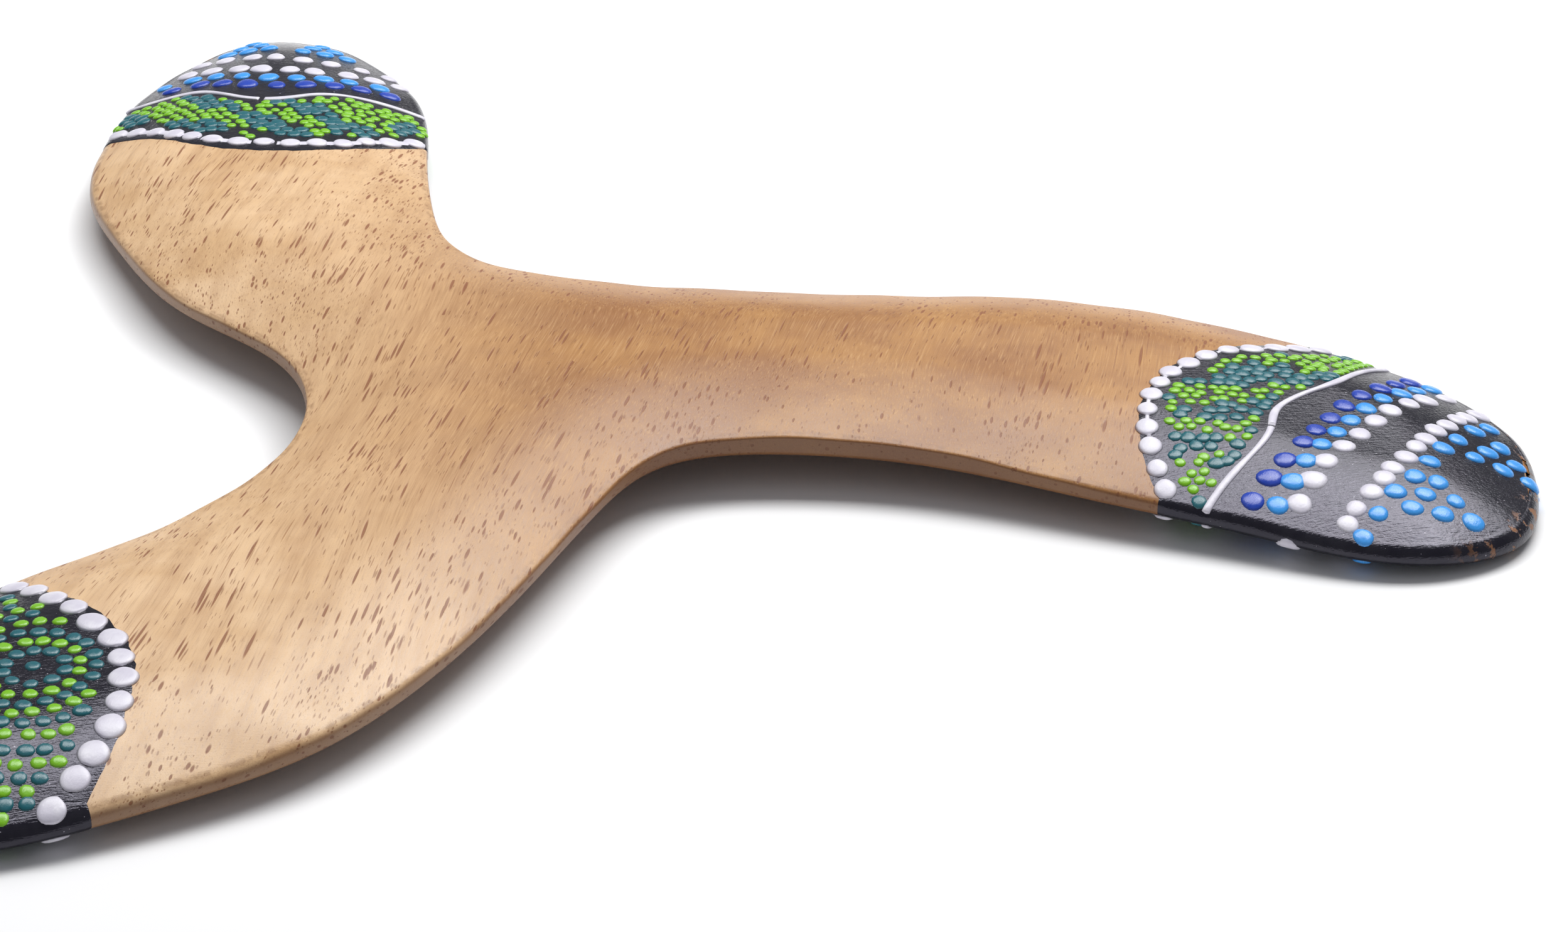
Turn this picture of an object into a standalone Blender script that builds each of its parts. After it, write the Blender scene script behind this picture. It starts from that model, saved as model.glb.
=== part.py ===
"""Three-bladed carved wooden boomerang with painted blade tips.

One board is carved into three blades at 120 degrees, each swept clockwise. The underside is flat at the hub
and droops towards the tips, so the boomerang stands on its three tips. The edges are low upright walls, and
the top rises from them in a soft crown. Each tip is dipped in a black coat that starts along an arc, and
carries raised white paint on both faces: a string of beads inside the arc, and a wavy line further out.

Frame: +Z up, origin on the underside at the centre of the hub, blade 0 along +X. All of it is one rigid body.
"""

import bmesh
import bpy
import numpy as np

MM = 0.001

# Each blade, in mm, with the blade along +X: its turn, in the order that the clockwise outline visits the blades;
# its outline from the crotch on its left, round the tip, and back, and the distance of the crotch that follows;
# then, from beyond its right edge to beyond its left edge, where its coat starts, the middle of its beads and its
# wavy line. The blades differ a little, as carved and painted by hand.
BLADES = {
    "right": {
        "turn": 0.0,
        "outline": (
            (27.3, 32.9), (49.9, 32.4), (78, 33.4), (98.1, 30.3), (118.9, 22.5), (138.4, 11), (150.6, -6.4),
            (151.4, -21), (146.8, -34.9), (129.2, -42.6), (107.1, -36.9), (84.2, -29), (62.6, -21.4), (42.5, -18.7),
        ),
        "crotch": 32.4,
        "coat": (
            (98.5, -38), (94, -31.2), (91.9, -23.8), (91.5, -15.4), (94, -3.9), (100.9, 6.2), (111.3, 14.3),
            (118.7, 19), (128, 24.5),
        ),
        "beads": (
            (97.5, -38), (95.4, -30.9), (94, -24.2), (93.5, -15.4), (94.7, -7.3), (99.1, 1), (104.5, 6.9),
            (112.5, 12), (120.5, 16.8), (130, 22),
        ),
        "wave": (
            (98, -40), (100.8, -34.6), (105.9, -26.7), (111.5, -17.5), (112.9, -11), (118.8, -3.8), (122.5, -0.6),
            (126.7, 5.7), (131, 11.8), (136, 19),
        ),
    },
    "front": {
        "turn": -120.0,
        "outline": (
            (26.8, 30.4), (49.8, 33.5), (78.1, 35), (98.5, 31.8), (118.4, 21.7), (136.1, 8.6), (148, -8),
            (151.5, -21), (145.5, -33.5), (129, -39.5), (107.5, -35.5), (84.9, -27.1), (63.4, -18.2), (42.5, -15.9),
        ),
        "crotch": 33.0,
        "coat": (
            (84, -36), (87.9, -24.9), (90.7, -14.5), (92.3, -6.4), (94.8, -0.8), (99.2, 4.5), (107.1, 9.3),
            (116.6, 13.2), (124, 15.5), (136, 19),
        ),
        "beads": (
            (88, -37), (90.3, -26), (92.8, -16.8), (94.5, -8.3), (98.7, -0.5), (104.5, 4.6), (111, 7.7),
            (118.6, 10.5), (127, 12.4), (140, 15),
        ),
        "wave": (
            (111, -42), (115.5, -28.4), (120.7, -20.1), (124.6, -11.2), (127, -2.7), (132, 4.3), (141.4, 13.2),
        ),
    },
    "rear": {
        "turn": 120.0,
        "outline": (
            (27, 28.8), (49.7, 34.2), (78, 34.1), (98.2, 30.7), (117.9, 20.7), (134.9, 7.4), (147.2, -8.2),
            (151.9, -21), (144.7, -32.1), (128.9, -36.1), (107.9, -34.3), (85.8, -25.1), (64.1, -15.6), (41.7, -11.8),
        ),
        "crotch": 35.6,
        "coat": (
            (91, -36), (87.6, -26), (85.5, -17.9), (85.4, -11.4), (86.8, -2.4), (91.3, 5.2), (98.2, 11.8),
            (107.3, 15.2), (117, 20), (128, 26),
        ),
        "beads": (
            (91, -37), (88.9, -26), (88.3, -18), (88.5, -8.9), (91.4, -2.2), (95.8, 4.5), (101.9, 10.1),
            (109.7, 13), (117.3, 16.4), (128, 22),
        ),
        "wave": (
            (97, -38), (103, -28.5), (108.4, -19.2), (110.9, -9.7), (118, -2.3), (123.2, 0.4), (128.6, 8.6),
            (134, 17),
        ),
    },
}  # fmt: skip
CROTCH_BEARING = -45.0  # degrees from the blade, on its right
TIP_POINT = (151, -17)  # where a blade's left and right edges meet
SPLIT_BEARING = 60.0  # degrees from a blade to the crotches where its neighbours begin

# Thickness of the board, in mm.
THICKNESS = 7.6  # along the middle of a blade
CROWN_WIDTH = 20.0  # from an edge to where the top levels out
CROWN_POWER = 1.6
EDGE_WALL = 3.2  # height of the upright wall along the blades
TIP_WALL = 2.8  # and round the tips
WALL_LOWERS = (80.0, 125.0)  # radii between which it goes from one to the other
UNDER_BEVEL = 0.8  # rise of the underside at its edge
UNDER_BEVEL_WIDTH = 2.5
FLAT_HUB_RADIUS = 16.0  # flat part of the underside
TIP_DROOP = 5.2  # of the tips below the hub
DROOP_RADIUS = 150.0  # where that droop is measured

# Paint, in mm. Each layer keeps a small gap to the one below it.
COAT_GAP = 0.15
COAT_THICKNESS = 0.3
RAISED_GAP = 0.3
BEAD_RADIUS = 2.0
BEAD_NECK = 0.7
BEAD_HEIGHT = 0.8
BEAD_NECK_SHARE = 0.5  # height of a neck, of the beads'
BEAD_FULLNESS = 0.6  # power of the swell between necks; less is rounder
BEAD_PITCH = 4.8
LINE_HALF_WIDTH = 0.8
LINE_HEIGHT = 0.7
EDGE_MARGIN = 3.0  # from the blade's edge to the ends of the raised paint

# Mesh density.
OUTLINE_STEPS = 30  # between two of the outline's points
CURVE_STEPS = 12  # between two points of an arc or a wavy line
SECTIONS = 22  # along a blade
ACROSS = 10  # across a blade, even, so that one column runs through the hub's centre
STEPS_PER_BEAD = 4
LINE_STEP = 2.5  # mm along a wavy line
EVENNESS_ACROSS = 0.35  # share of even steps across a blade; the rest crowd towards its edges
CROWDING_ALONG = 1.3  # power by which the sections crowd towards the tip
BEND_FADE = 1.5  # power by which the bend at the hub fades out
PRISM_REACH = (175.0, 60.0)  # mm along and across a blade, clear of its tip
PRISM_HEIGHT = 20.0  # mm above and below the hub's underside, clear of the board
WELD = 1e-6  # metres
SHARP_ANGLE = np.radians(35)

# Colours are linear.
WOOD = ("wood", (0.58, 0.33, 0.14, 1.0), 0.35)
BLACK_PAINT = ("black_paint", (0.012, 0.012, 0.018, 1.0), 0.3)
WHITE_PAINT = ("white_paint", (0.78, 0.76, 0.82, 1.0), 0.35)


# Plan geometry


def turned(points, degrees):
    """Plan points turned about the hub, counter-clockwise."""
    angle = np.radians(degrees)
    cos, sin = np.cos(angle), np.sin(angle)
    return np.asarray(points, float) @ np.array([[cos, sin], [-sin, cos]])


def smooth_curve(points, steps, closed):
    """The cubic spline through the points, with continuous curvature, spaced by chord length."""
    knots = np.asarray(points, float)
    ends = np.vstack([knots, knots[:1]]) if closed else knots
    spans = np.linalg.norm(np.diff(ends, axis=0), axis=1)
    slopes = np.diff(ends, axis=0) / spans[:, None]
    count = len(knots)
    matrix, right = np.eye(count), np.zeros((count, 2))
    for i in range(count) if closed else range(1, count - 1):
        matrix[i] = 0
        before, after = (i - 1) % count, (i + 1) % count
        matrix[i, [before, i, after]] = spans[i - 1], 2 * (spans[i - 1] + spans[i]), spans[i]
        right[i] = 6 * (slopes[i] - slopes[i - 1])
    bend = np.linalg.solve(matrix, right)
    if closed:
        bend = np.vstack([bend, bend[:1]])
    t = (np.arange(steps) / steps)[None, :, None]
    start, end = ends[:-1, None], ends[1:, None]
    bend_part = bend[:-1, None] * ((1 - t) ** 3 - (1 - t)) + bend[1:, None] * (t**3 - t)
    curve = start + (end - start) * t + spans[:, None, None] ** 2 / 6 * bend_part
    curve = curve.reshape(-1, 2)
    return curve if closed else np.vstack([curve, ends[-1:]])


def whole_outline():
    """The boomerang's closed outline in plan, clockwise."""
    bearing = np.radians(CROTCH_BEARING)
    toward_crotch = np.array([np.cos(bearing), np.sin(bearing)])
    points = [
        turned([*blade["outline"], toward_crotch * blade["crotch"]], blade["turn"]) for blade in BLADES.values()
    ]
    return smooth_curve(np.vstack(points), OUTLINE_STEPS, closed=True)


OUTLINE = whole_outline()
OUTLINE_NEXT = np.roll(OUTLINE, -1, axis=0)


def edge_distance(plan):
    """How far each plan point lies from the outline."""
    along = OUTLINE_NEXT - OUTLINE
    offset = plan[:, None] - OUTLINE
    t = np.clip((offset * along).sum(axis=-1) / (along**2).sum(axis=-1), 0, 1)
    return np.linalg.norm(offset - t[..., None] * along, axis=-1).min(axis=1)


def inside_outline(plan):
    """Whether each plan point is inside the outline: a line from it along +X crosses it an odd number of times."""
    x, y = plan[:, :1], plan[:, 1:]
    spans = (OUTLINE[:, 1] > y) != (OUTLINE_NEXT[:, 1] > y)
    slope = (OUTLINE_NEXT[:, 0] - OUTLINE[:, 0]) / (OUTLINE_NEXT[:, 1] - OUTLINE[:, 1])
    crossing = OUTLINE[:, 0] + (y - OUTLINE[:, 1]) * slope
    return (spans & (crossing > x)).sum(axis=1) % 2 == 1


def outward(plan):
    """Unit vectors that point away from the board, at plan points on its outline."""
    nearest = np.linalg.norm(plan[:, None] - OUTLINE, axis=-1).argmin(axis=1)
    along = (OUTLINE_NEXT - np.roll(OUTLINE, 1, axis=0))[nearest]
    return normals_of(along)


def normals_of(along):
    """Unit vectors a quarter turn counter-clockwise from these."""
    side = np.column_stack([-along[:, 1], along[:, 0]])
    return side / np.linalg.norm(side, axis=1)[:, None]


def resampled(path, fractions):
    """Points at these fractions of a path's length."""
    length = np.concatenate([[0], np.cumsum(np.linalg.norm(np.diff(path, axis=0), axis=1))])
    at = np.asarray(fractions) * length[-1]
    return np.column_stack([np.interp(at, length, path[:, 0]), np.interp(at, length, path[:, 1])])


# The board's surface


def heights(plan, distance):
    """Heights of the top and of the underside, at plan points that lie this far inside the edge.

    The top is the edge wall plus a crown that levels out inwards. The underside has a small bevel at the edge.
    Both drop with the square of the distance from the flat part of the hub.
    """
    radius = np.linalg.norm(plan, axis=1)
    wall = np.interp(radius, WALL_LOWERS, (EDGE_WALL, TIP_WALL))
    crown = 1 - (1 - np.clip(distance / CROWN_WIDTH, 0, 1)) ** CROWN_POWER
    bevel = UNDER_BEVEL * (1 - np.clip(distance / UNDER_BEVEL_WIDTH, 0, 1)) ** 2
    beyond = np.maximum(radius - FLAT_HUB_RADIUS, 0) / (DROOP_RADIUS - FLAT_HUB_RADIUS)
    drop = TIP_DROOP * beyond**2
    return wall + (THICKNESS - wall) * crown - drop, bevel - drop


def blade_sections():
    """Plan points of every blade's cross sections, as an array of (blade, section, across, xy).

    A section runs from the blade's right edge to its left edge. The first one bends at the hub's centre, so
    that the three blades share it, and the bend fades out along the blade. The last one is the tip's point.
    """
    even = np.linspace(0, 1, ACROSS + 1)
    across = EVENNESS_ACROSS * even + (1 - EVENNESS_ACROSS) * (1 - np.cos(np.pi * even)) / 2
    steps = np.linspace(0, 1, SECTIONS + 1)
    along = 1 - (1 - steps) ** CROWDING_ALONG
    bend_fades = np.clip(1 - 2 * steps, 0, 1)[:, None] ** BEND_FADE
    blades = []
    for blade in BLADES.values():
        outline = turned(OUTLINE, -blade["turn"])
        tip = np.linalg.norm(outline - TIP_POINT, axis=1).argmin()
        outline = np.roll(outline, -tip, axis=0)
        bearing = np.degrees(np.arctan2(outline[:, 1], outline[:, 0]))
        right_end = np.argmax(bearing < -SPLIT_BEARING)
        left_end = len(outline) - np.argmax(bearing[::-1] > SPLIT_BEARING)
        right = resampled(outline[right_end::-1], along)[:, None]
        left = resampled(np.vstack([outline[left_end:], outline[:1]]), along)[:, None]
        middle = (right + left) / 2
        middle = middle - middle[0] * bend_fades[:, None]
        to_middle = np.clip(2 * across, 0, 1)[None, :, None]
        to_left = np.clip(2 * across - 1, 0, 1)[None, :, None]
        sections = right + (middle - right) * to_middle + (left - middle) * to_left
        blades.append(turned(sections.reshape(-1, 2), blade["turn"]).reshape(sections.shape))
    return np.array(blades)


def board(grow):
    """Points and faces of the carved board, with every surface moved outwards by grow.

    Each blade is a top sheet and an underside sheet on one plan grid, and the strip between their rims is the
    upright wall. The blades share the points of their first sections.
    """
    rows, columns = SECTIONS + 1, ACROSS + 1
    size = rows * columns
    corner = (np.arange(rows - 1)[:, None] * columns + np.arange(columns - 1)).reshape(-1)
    sheet = np.column_stack([corner, corner + columns, corner + columns + 1, corner + 1])
    right_rim = np.arange(rows - 1) * columns
    walls = [
        np.column_stack([rim, rim + columns, rim + columns + size, rim + size])
        for rim in (right_rim, right_rim + columns - 1)
    ]
    on_rim = np.zeros((rows, columns), bool)
    on_rim[:, [0, -1]] = True
    on_rim[-1] = True
    points, faces = [], []
    for blade, plan in enumerate(blade_sections().reshape(len(BLADES), size, 2)):
        top, under = heights(plan, edge_distance(plan))
        grown = plan + grow * outward(plan) * on_rim.reshape(size, 1)
        points += [np.column_stack([grown, top + grow]), np.column_stack([grown, under - grow])]
        faces += [part + 2 * size * blade for part in (sheet, sheet + size, *walls)]
    return np.vstack(points), np.vstack(faces)


# Objects


def new_material(name, color, roughness):
    material = bpy.data.materials.new(name)
    material.use_nodes = True
    shader = material.node_tree.nodes["Principled BSDF"]
    shader.inputs["Base Color"].default_value = color
    shader.inputs["Roughness"].default_value = roughness
    shader.inputs["Metallic"].default_value = 0.0
    material.diffuse_color = color
    return material


def new_piece(name, points, faces, material=None):
    """An object from points in mm and its faces: doubles merged, triangulated, facing outwards."""
    mesh = bpy.data.meshes.new(name)
    mesh.from_pydata((points * MM).tolist(), [], faces)
    shape = bmesh.new()
    shape.from_mesh(mesh)
    bmesh.ops.remove_doubles(shape, verts=shape.verts, dist=WELD)
    bmesh.ops.dissolve_degenerate(shape, edges=shape.edges, dist=WELD)
    bmesh.ops.triangulate(shape, faces=shape.faces)
    bmesh.ops.recalc_face_normals(shape, faces=shape.faces)
    shape.to_mesh(mesh)
    shape.free()
    mesh.shade_smooth()
    mesh.set_sharp_from_angle(angle=SHARP_ANGLE)
    piece = bpy.data.objects.new(name, mesh)
    bpy.context.scene.collection.objects.link(piece)
    if material:
        mesh.materials.append(material)
    return piece


def new_cutter(name, points, faces):
    """A helper that shapes a piece and is left out of the model."""
    cutter = new_piece(name, points, faces)
    cutter.hide_render = True
    cutter.display_type = "WIRE"
    return cutter


def cut(piece, operation, cutter):
    """A Boolean between a piece and a cutter."""
    boolean = piece.modifiers.new(operation.title(), "BOOLEAN")
    boolean.operation = operation
    boolean.object = cutter
    boolean.solver = "EXACT"


def tip_prism(name, arc, turn):
    """An upright prism over everything beyond a coat's arc."""
    edge = smooth_curve(arc, CURVE_STEPS, closed=False)
    along, aside = PRISM_REACH
    loop = turned(np.vstack([edge, [[along, aside], [along, -aside]]]), turn)
    n = len(loop)
    levels = [np.column_stack([loop, np.full(n, height)]) for height in (-PRISM_HEIGHT, PRISM_HEIGHT)]
    sides = [(i, (i + 1) % n, n + (i + 1) % n, n + i) for i in range(n)]
    caps = [tuple(range(n)), tuple(range(n, 2 * n))]
    return new_cutter(name, np.vstack(levels), sides + caps)


def across_blade(curve, turn):
    """The stretch of a curve across a blade that keeps the margin to its edges."""
    path = turned(curve, turn)
    on_blade = np.flatnonzero(inside_outline(path) & (edge_distance(path) > EDGE_MARGIN))
    return path[on_blade[0] : on_blade[-1] + 1]


def path_length(path):
    return np.linalg.norm(np.diff(path, axis=0), axis=1).sum()


def raised_paint(name, path, half_width, height, face, material):
    """A ridge of paint along a plan path, lying on the coat of the top or of the underside.

    Its section has two feet, a crown, and a point in the middle of its base, so that it follows the curved
    coat closely.
    """
    side = normals_of(np.gradient(path, axis=0)) * half_width[:, None]
    lift = COAT_GAP + COAT_THICKNESS + RAISED_GAP
    rails = []
    for plan, rise in ((path - side, 0), (path, height), (path + side, 0), (path, 0)):
        top, under = heights(plan, edge_distance(plan))
        z = top + lift + rise if face == "top" else under - lift - rise
        rails.append(np.column_stack([plan, z]))
    n = len(path)
    quads = [
        (4 * i + j, 4 * i + (j + 1) % 4, 4 * i + 4 + (j + 1) % 4, 4 * i + 4 + j)
        for i in range(n - 1)
        for j in range(4)
    ]
    ends = [(0, 1, 2, 3), tuple(range(4 * n - 4, 4 * n))]
    return new_piece(name, np.stack(rails, axis=1).reshape(-1, 3), quads + ends, material)


def bead_string(name, middle, turn, face, material):
    """A string of touching beads just inside a coat's arc: the ridge swells and narrows once per bead."""
    path = across_blade(smooth_curve(middle, CURVE_STEPS, closed=False), turn)
    beads = round(path_length(path) / BEAD_PITCH)
    fractions = np.linspace(0, 1, beads * STEPS_PER_BEAD + 1)
    swell = np.abs(np.sin(np.pi * beads * fractions)) ** BEAD_FULLNESS
    path = resampled(path, fractions)
    half_width = BEAD_NECK + (BEAD_RADIUS - BEAD_NECK) * swell
    height = BEAD_HEIGHT * (BEAD_NECK_SHARE + (1 - BEAD_NECK_SHARE) * swell)
    return raised_paint(name, path, half_width, height, face, material)


def wavy_line(name, wave, turn, face, material):
    """A squeezed line of paint along the wave."""
    path = across_blade(smooth_curve(wave, CURVE_STEPS, closed=False), turn)
    path = resampled(path, np.linspace(0, 1, round(path_length(path) / LINE_STEP) + 1))
    even = np.ones(len(path))
    return raised_paint(name, path, LINE_HALF_WIDTH * even, LINE_HEIGHT * even, face, material)


def build():
    for old in list(bpy.data.objects):
        bpy.data.objects.remove(old)
    wood, black, white = (new_material(*values) for values in (WOOD, BLACK_PAINT, WHITE_PAINT))

    points, faces = board(grow=0.0)
    new_piece("carved_board", points, faces.tolist(), wood)

    points, faces = board(grow=COAT_GAP)
    coat_inside = new_cutter("coat_inside", points, faces.tolist())
    points, faces = board(grow=COAT_GAP + COAT_THICKNESS)
    for tip, blade in BLADES.items():
        turn = blade["turn"]
        coat = new_piece(f"black_coat_{tip}", points, faces.tolist(), black)
        cut(coat, "INTERSECT", tip_prism(f"tip_prism_{tip}", blade["coat"], turn))
        cut(coat, "DIFFERENCE", coat_inside)
        for face in ("top", "under"):
            bead_string(f"white_beads_{tip}_{face}", blade["beads"], turn, face, white)
            wavy_line(f"white_wave_{tip}_{face}", blade["wave"], turn, face, white)


build()
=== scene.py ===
"""A three-bladed carved wooden boomerang with black, dot-painted tips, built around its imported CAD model.

The pieces follow the order of the work: the board is sawn and carved, its tips are dipped in black, and then
white, green, teal and blue paint is dotted on both faces. Plan sizes are in millimetres, in the frame of the
CAD model: origin under the hub, +Z up, the right blade along +X. MM turns them into the scene's metres.
"""

import bmesh
import bpy
import numpy as np
from mathutils import Matrix, Vector


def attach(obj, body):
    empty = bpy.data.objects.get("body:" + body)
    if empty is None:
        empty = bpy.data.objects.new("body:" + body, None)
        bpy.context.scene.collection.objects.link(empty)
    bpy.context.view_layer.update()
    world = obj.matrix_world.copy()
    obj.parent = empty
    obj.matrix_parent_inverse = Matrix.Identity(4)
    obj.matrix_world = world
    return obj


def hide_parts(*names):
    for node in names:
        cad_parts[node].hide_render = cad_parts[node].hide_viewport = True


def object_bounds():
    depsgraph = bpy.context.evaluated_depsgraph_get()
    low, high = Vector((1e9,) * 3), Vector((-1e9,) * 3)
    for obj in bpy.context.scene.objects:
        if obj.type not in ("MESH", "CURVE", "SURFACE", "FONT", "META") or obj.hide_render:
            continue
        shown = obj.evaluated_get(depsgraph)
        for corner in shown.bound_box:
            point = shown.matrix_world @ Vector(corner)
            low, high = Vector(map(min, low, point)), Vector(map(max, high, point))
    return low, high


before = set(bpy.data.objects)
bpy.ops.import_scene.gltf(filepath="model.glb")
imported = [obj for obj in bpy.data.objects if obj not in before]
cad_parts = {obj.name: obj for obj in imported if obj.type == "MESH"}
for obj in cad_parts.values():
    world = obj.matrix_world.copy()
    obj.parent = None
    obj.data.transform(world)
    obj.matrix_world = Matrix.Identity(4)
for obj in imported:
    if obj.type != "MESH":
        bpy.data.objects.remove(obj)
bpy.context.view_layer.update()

MM = 0.001


# The board ------------------------------------------------------------------------------------------------
# One plank of pale, open-pored hardwood, sawn into three swept blades. The edges are left as low upright
# walls, crisp where the blades narrow and rounder at the tips, and the top is shaved into a soft crown by
# hand.

BLADE_TURNS = {"right": 0.0, "front": -120.0, "rear": 120.0}
# Plan of each blade along +X, clockwise from the crotch on its left.
BLADE_OUTLINES = {
    "right": ((27.3, 32.9), (49.9, 32.4), (78, 33.4), (98.1, 30.3), (118.9, 22.5), (138.4, 11),
              (150.6, -6.4), (151.4, -21), (146.8, -34.9), (129.2, -42.6), (107.1, -36.9), (84.2, -29),
              (62.6, -21.4), (42.5, -18.7)),
    "front": ((26.8, 30.4), (49.8, 33.5), (78.1, 35), (98.5, 31.8), (118.4, 21.7), (136.1, 8.6), (148, -8),
              (151.5, -21), (145.5, -33.5), (129, -39.5), (107.5, -35.5), (84.9, -27.1), (63.4, -18.2),
              (42.5, -15.9)),
    "rear": ((27, 28.8), (49.7, 34.2), (78, 34.1), (98.2, 30.7), (117.9, 20.7), (134.9, 7.4), (147.2, -8.2),
             (151.9, -21), (144.7, -32.1), (128.9, -36.1), (107.9, -34.3), (85.8, -25.1), (64.1, -15.6),
             (41.7, -11.8)),
}  # fmt: skip
# At those points: height of the edge's wall, and rounding of its upper corner.
WALLS = (3.0, 2.9, 3.0, 3.1, 3.0, 2.9, 2.9, 2.9, 2.9, 2.8, 2.7, 3.0, 3.5, 3.8)
ROUNDINGS = (0.5, 0.6, 0.9, 1.2, 1.4, 1.5, 1.5, 1.5, 1.4, 1.2, 1.1, 0.5, 0.3, 0.3)
CROTCH_BEARING = np.radians(-45.0)
CROTCH_RADII = (32.4, 33.0, 35.6)
CROTCH_EDGE = (3.4, 0.4)
TIP_POINT = (151, -17)
SPLIT_BEARING = 60.0
THICKNESS = 7.6
CROWN_WIDTH = 20.0
CROWN_POWER = 1.6
UNDER_BEVEL = 0.8
UNDER_BEVEL_WIDTH = 2.5
FLAT_HUB_RADIUS = 16.0
SPLIT_RADIUS = 60.0
CORNER_LEAD = 0.2
BOW_POWER = 2.5
TIP_DROOP = 5.2
DROOP_RADIUS = 150.0
KNIFE_WAVER = 0.08
HAND_UNEVENNESS = 0.09
OUTLINE_STEPS = 60


def turned(points, degrees):
    """Points turned about the hub in plan, counter-clockwise; further columns stay as they are."""
    points = np.array(points, float)
    cos, sin = np.cos(np.radians(degrees)), np.sin(np.radians(degrees))
    points[..., :2] = points[..., :2] @ np.array([[cos, sin], [-sin, cos]])
    return points


def smooth_curve(points, steps, closed=False):
    """The cubic spline through rows of values: each span is its chord plus two cubic bends, which make
    slope and curvature continuous. Spans are spaced by their length in plan, the first two columns."""
    knots = np.asarray(points, float)
    ends = np.vstack([knots, knots[:1]]) if closed else knots
    spans = np.linalg.norm(np.diff(ends[:, :2], axis=0), axis=1)
    slopes = np.diff(ends, axis=0) / spans[:, None]
    count = len(knots)
    inner = np.arange(count) if closed else np.arange(1, count - 1)
    before, after = (inner - 1) % count, (inner + 1) % count
    matrix, right = np.eye(count), np.zeros_like(knots)
    matrix[inner, inner] = 2 * (spans[before] + spans[inner])
    matrix[inner, before] += spans[before]
    matrix[inner, after] += spans[inner]
    right[inner] = 6 * (slopes[inner] - slopes[before])
    bend = np.linalg.solve(matrix, right)
    if closed:
        bend = np.vstack([bend, bend[:1]])
    t = (np.arange(steps) / steps)[None, :, None]
    cubic = bend[:-1, None] * ((1 - t) ** 3 - (1 - t)) + bend[1:, None] * (t**3 - t)
    curve = ends[:-1, None] * (1 - t) + ends[1:, None] * t + spans[:, None, None] ** 2 / 6 * cubic
    curve = curve.reshape(-1, knots.shape[1])
    return curve if closed else np.vstack([curve, ends[-1:]])


def left_normals(path):
    """Unit vectors a quarter turn counter-clockwise from a plan path's direction."""
    along = np.gradient(path[:, :2], axis=0)
    return np.column_stack([-along[:, 1], along[:, 0]]) / np.linalg.norm(along, axis=1)[:, None]


def whole_edge():
    """The closed edge, clockwise, as rows of x, y, wall height, rounding and outward x and y. The wall's
    height wavers a little along the edge, as a sum of sines of its length."""
    blades = []
    for (name, turn), radius in zip(BLADE_TURNS.items(), CROTCH_RADII):
        crotch = (radius * np.cos(CROTCH_BEARING), radius * np.sin(CROTCH_BEARING), *CROTCH_EDGE)
        outline = np.column_stack([BLADE_OUTLINES[name], WALLS, ROUNDINGS])
        blades.append(turned(np.vstack([outline, crotch]), turn))
    edge = smooth_curve(np.vstack(blades), OUTLINE_STEPS, closed=True)
    length = np.concatenate([[0], np.cumsum(np.linalg.norm(np.diff(edge[:, :2], axis=0), axis=1))])
    turns = 2 * np.pi * length / length[-1]
    waver = np.sin(23 * turns) + 0.8 * np.sin(41 * turns + 1) + 0.6 * np.sin(67 * turns + 2)
    edge[:, 2] += KNIFE_WAVER * waver
    outward = left_normals(np.vstack([edge[-1:], edge, edge[:1]]))[1:-1]
    return np.hstack([edge, outward])


EDGE = whole_edge()
COARSE = 8


def edge_at(index):
    """Rows of EDGE at fractional indices, between its points in proportion."""
    low = np.floor(index).astype(int)
    part = (index - low)[..., None]
    return EDGE[low % len(EDGE)] * (1 - part) + EDGE[(low + 1) % len(EDGE)] * part


def survey(plan):
    """For plan points: how far inside the edge each lies, negative outside, and the fractional index of the
    nearest point of the edge. The search goes through every eighth point first, then through those near the
    best."""
    gap = (plan[:, None, 0] - EDGE[::COARSE, 0]) ** 2 + (plan[:, None, 1] - EDGE[::COARSE, 1]) ** 2
    near = gap.argmin(axis=1)[:, None] * COARSE + np.arange(-COARSE, COARSE + 1)
    offset = plan[:, None] - EDGE[near % len(EDGE), :2]
    nearest = near[np.arange(len(plan)), (offset**2).sum(axis=2).argmin(axis=1)]
    starts = nearest[:, None] + np.array([-1, 0])
    start, end = EDGE[starts % len(EDGE), :2], EDGE[(starts + 1) % len(EDGE), :2]
    along, offset = end - start, plan[:, None] - start
    t = np.clip((offset * along).sum(axis=2) / (along**2).sum(axis=2), 0, 1)
    gap = np.linalg.norm(offset - t[..., None] * along, axis=2)
    best = gap.argmin(axis=1)
    rows = np.arange(len(plan))
    index = starts[rows, best] + t[rows, best]
    edge = edge_at(index)
    outside = ((plan - edge[:, :2]) * edge[:, 4:6]).sum(axis=1) > 0
    return np.where(outside, -1, 1) * gap[rows, best], index


def drop(plan):
    """How far the board has bent down: nothing at the hub, then with the square of the distance from it."""
    beyond = np.maximum(np.linalg.norm(plan, axis=-1) - FLAT_HUB_RADIUS, 0) / (DROOP_RADIUS - FLAT_HUB_RADIUS)
    return TIP_DROOP * beyond**2


def top_height(plan, inside, wall):
    """The edge's wall, plus a crown that levels out inwards and wavers with a few slow sines, less the
    drop."""
    x, y = plan[..., 0], plan[..., 1]
    crown = 1 - (1 - np.clip(inside / CROWN_WIDTH, 0, 1)) ** CROWN_POWER
    uneven = np.sin(x / 7 + y / 19) + np.sin(y / 9 - x / 23 + 1) + 0.7 * np.sin((x + y) / 5 + 2)
    return wall + (THICKNESS - wall + HAND_UNEVENNESS * uneven) * crown - drop(plan)


def under_height(plan, inside):
    """A flat underside with a small bevel at the edge, less the drop."""
    return UNDER_BEVEL * (1 - np.clip(inside / UNDER_BEVEL_WIDTH, 0, 1)) ** 2 - drop(plan)


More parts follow.
